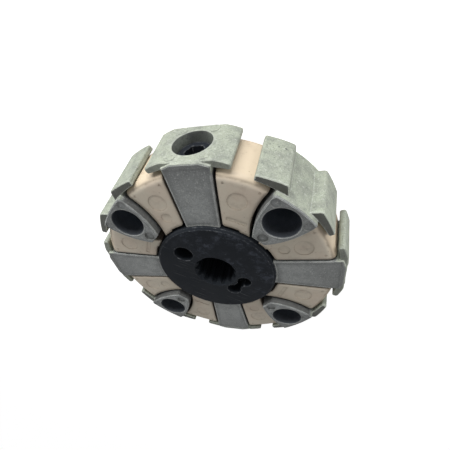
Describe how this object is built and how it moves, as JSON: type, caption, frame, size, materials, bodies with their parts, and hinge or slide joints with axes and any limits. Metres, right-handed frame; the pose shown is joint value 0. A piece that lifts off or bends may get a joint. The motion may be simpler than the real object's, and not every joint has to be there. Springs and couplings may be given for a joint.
{
  "type": "pump drive coupling",
  "caption": "Flexible coupling that joins an engine flywheel to a splined pump shaft: aluminium segments and radial arms press on moulded elastic blocks around a steel hub.",
  "frame": {"origin": "on the shaft axis, in the plane of the segments' flywheel faces", "axes": "+Z along the shaft axis towards the pump; +X through the middle of the first radial arm"},
  "size_m": [0.2518, 0.2518, 0.066],
  "materials": {
    "black_steel": "black oxide, satin",
    "screw_steel": "black oxide, semi-gloss",
    "cast_aluminium": "as cast, matt",
    "cast_aluminium_segment": "as cast, matt",
    "elastomer": "moulded, matt"
  },
  "bodies": {
    "flywheel_side": {"flywheel_segment_1": "cast_aluminium_segment", "flywheel_segment_2": "cast_aluminium_segment", "flywheel_segment_3": "cast_aluminium_segment", "flywheel_segment_4": "cast_aluminium_segment"},
    "elastic_ring": {"elastic_block_1": "elastomer", "elastic_block_2": "elastomer", "elastic_block_3": "elastomer", "elastic_block_4": "elastomer", "elastic_block_5": "elastomer", "elastic_block_6": "elastomer", "elastic_block_7": "elastomer", "elastic_block_8": "elastomer"},
    "hub_side": {"hub": "black_steel", "radial_arm_1": "cast_aluminium", "radial_arm_2": "cast_aluminium", "radial_arm_3": "cast_aluminium", "radial_arm_4": "cast_aluminium", "radial_screw_1": "screw_steel", "radial_screw_2": "screw_steel", "radial_screw_3": "screw_steel", "radial_screw_4": "screw_steel"}
  },
  "joints": [
    {"name": "torsional_play", "type": "hinge", "parent": "flywheel_side", "child": "elastic_ring", "pos_m": [0, 0, 0.033], "axis": [0, 0, 1], "range_deg": [-1, 1]},
    {"name": "hub_withdrawal", "type": "slide", "parent": "elastic_ring", "child": "hub_side", "axis": [0, 0, 1], "range_m": [0, 0.065]}
  ]
}
